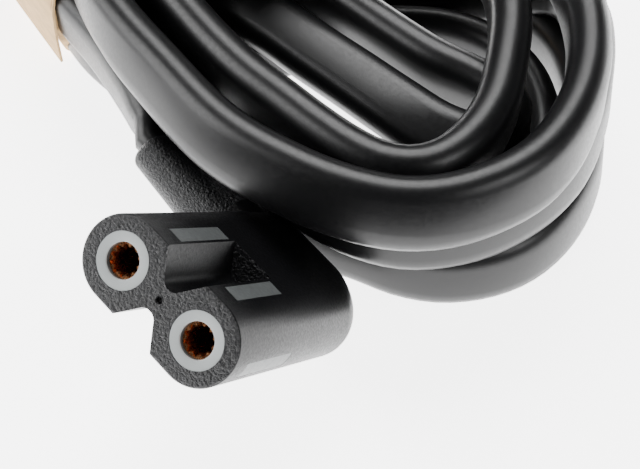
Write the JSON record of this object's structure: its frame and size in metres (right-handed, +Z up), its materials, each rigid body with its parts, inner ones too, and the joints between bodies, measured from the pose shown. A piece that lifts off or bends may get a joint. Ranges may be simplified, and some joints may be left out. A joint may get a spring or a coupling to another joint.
{
  "type": "power cord",
  "caption": "Mains lead wound into a banded hank: right-angle figure-eight connector, flat two-core black cord and flat two-pin plug",
  "frame": {"origin": "on the floor, under the middle of the connector's box", "axes": "+Z up; the hank and plug lie away from the connector, towards +Y; +X to the right as seen from the connector's face"},
  "size_m": [0.1375, 0.1462, 0.0254],
  "materials": {
    "overmould": "spark-textured black moulding",
    "insert": "smooth light grey",
    "contact": "bare copper alloy",
    "cord": "smooth semi-gloss black",
    "paper": "matt kraft paper",
    "pin": "nickel plated",
    "sleeve": "smooth black"
  },
  "bodies": {
    "root": {"connector_body": "overmould", "connector_insert": "insert", "contact_1": "contact", "contact_2": "contact", "cord_lead": "cord", "cord_hank": "cord", "cord_tail": "cord", "paper_band": "paper", "plug_body": "overmould", "plug_pin_1": "pin", "plug_pin_2": "pin", "pin_sleeve_1": "sleeve", "pin_sleeve_2": "sleeve"}
  },
  "joints": []
}
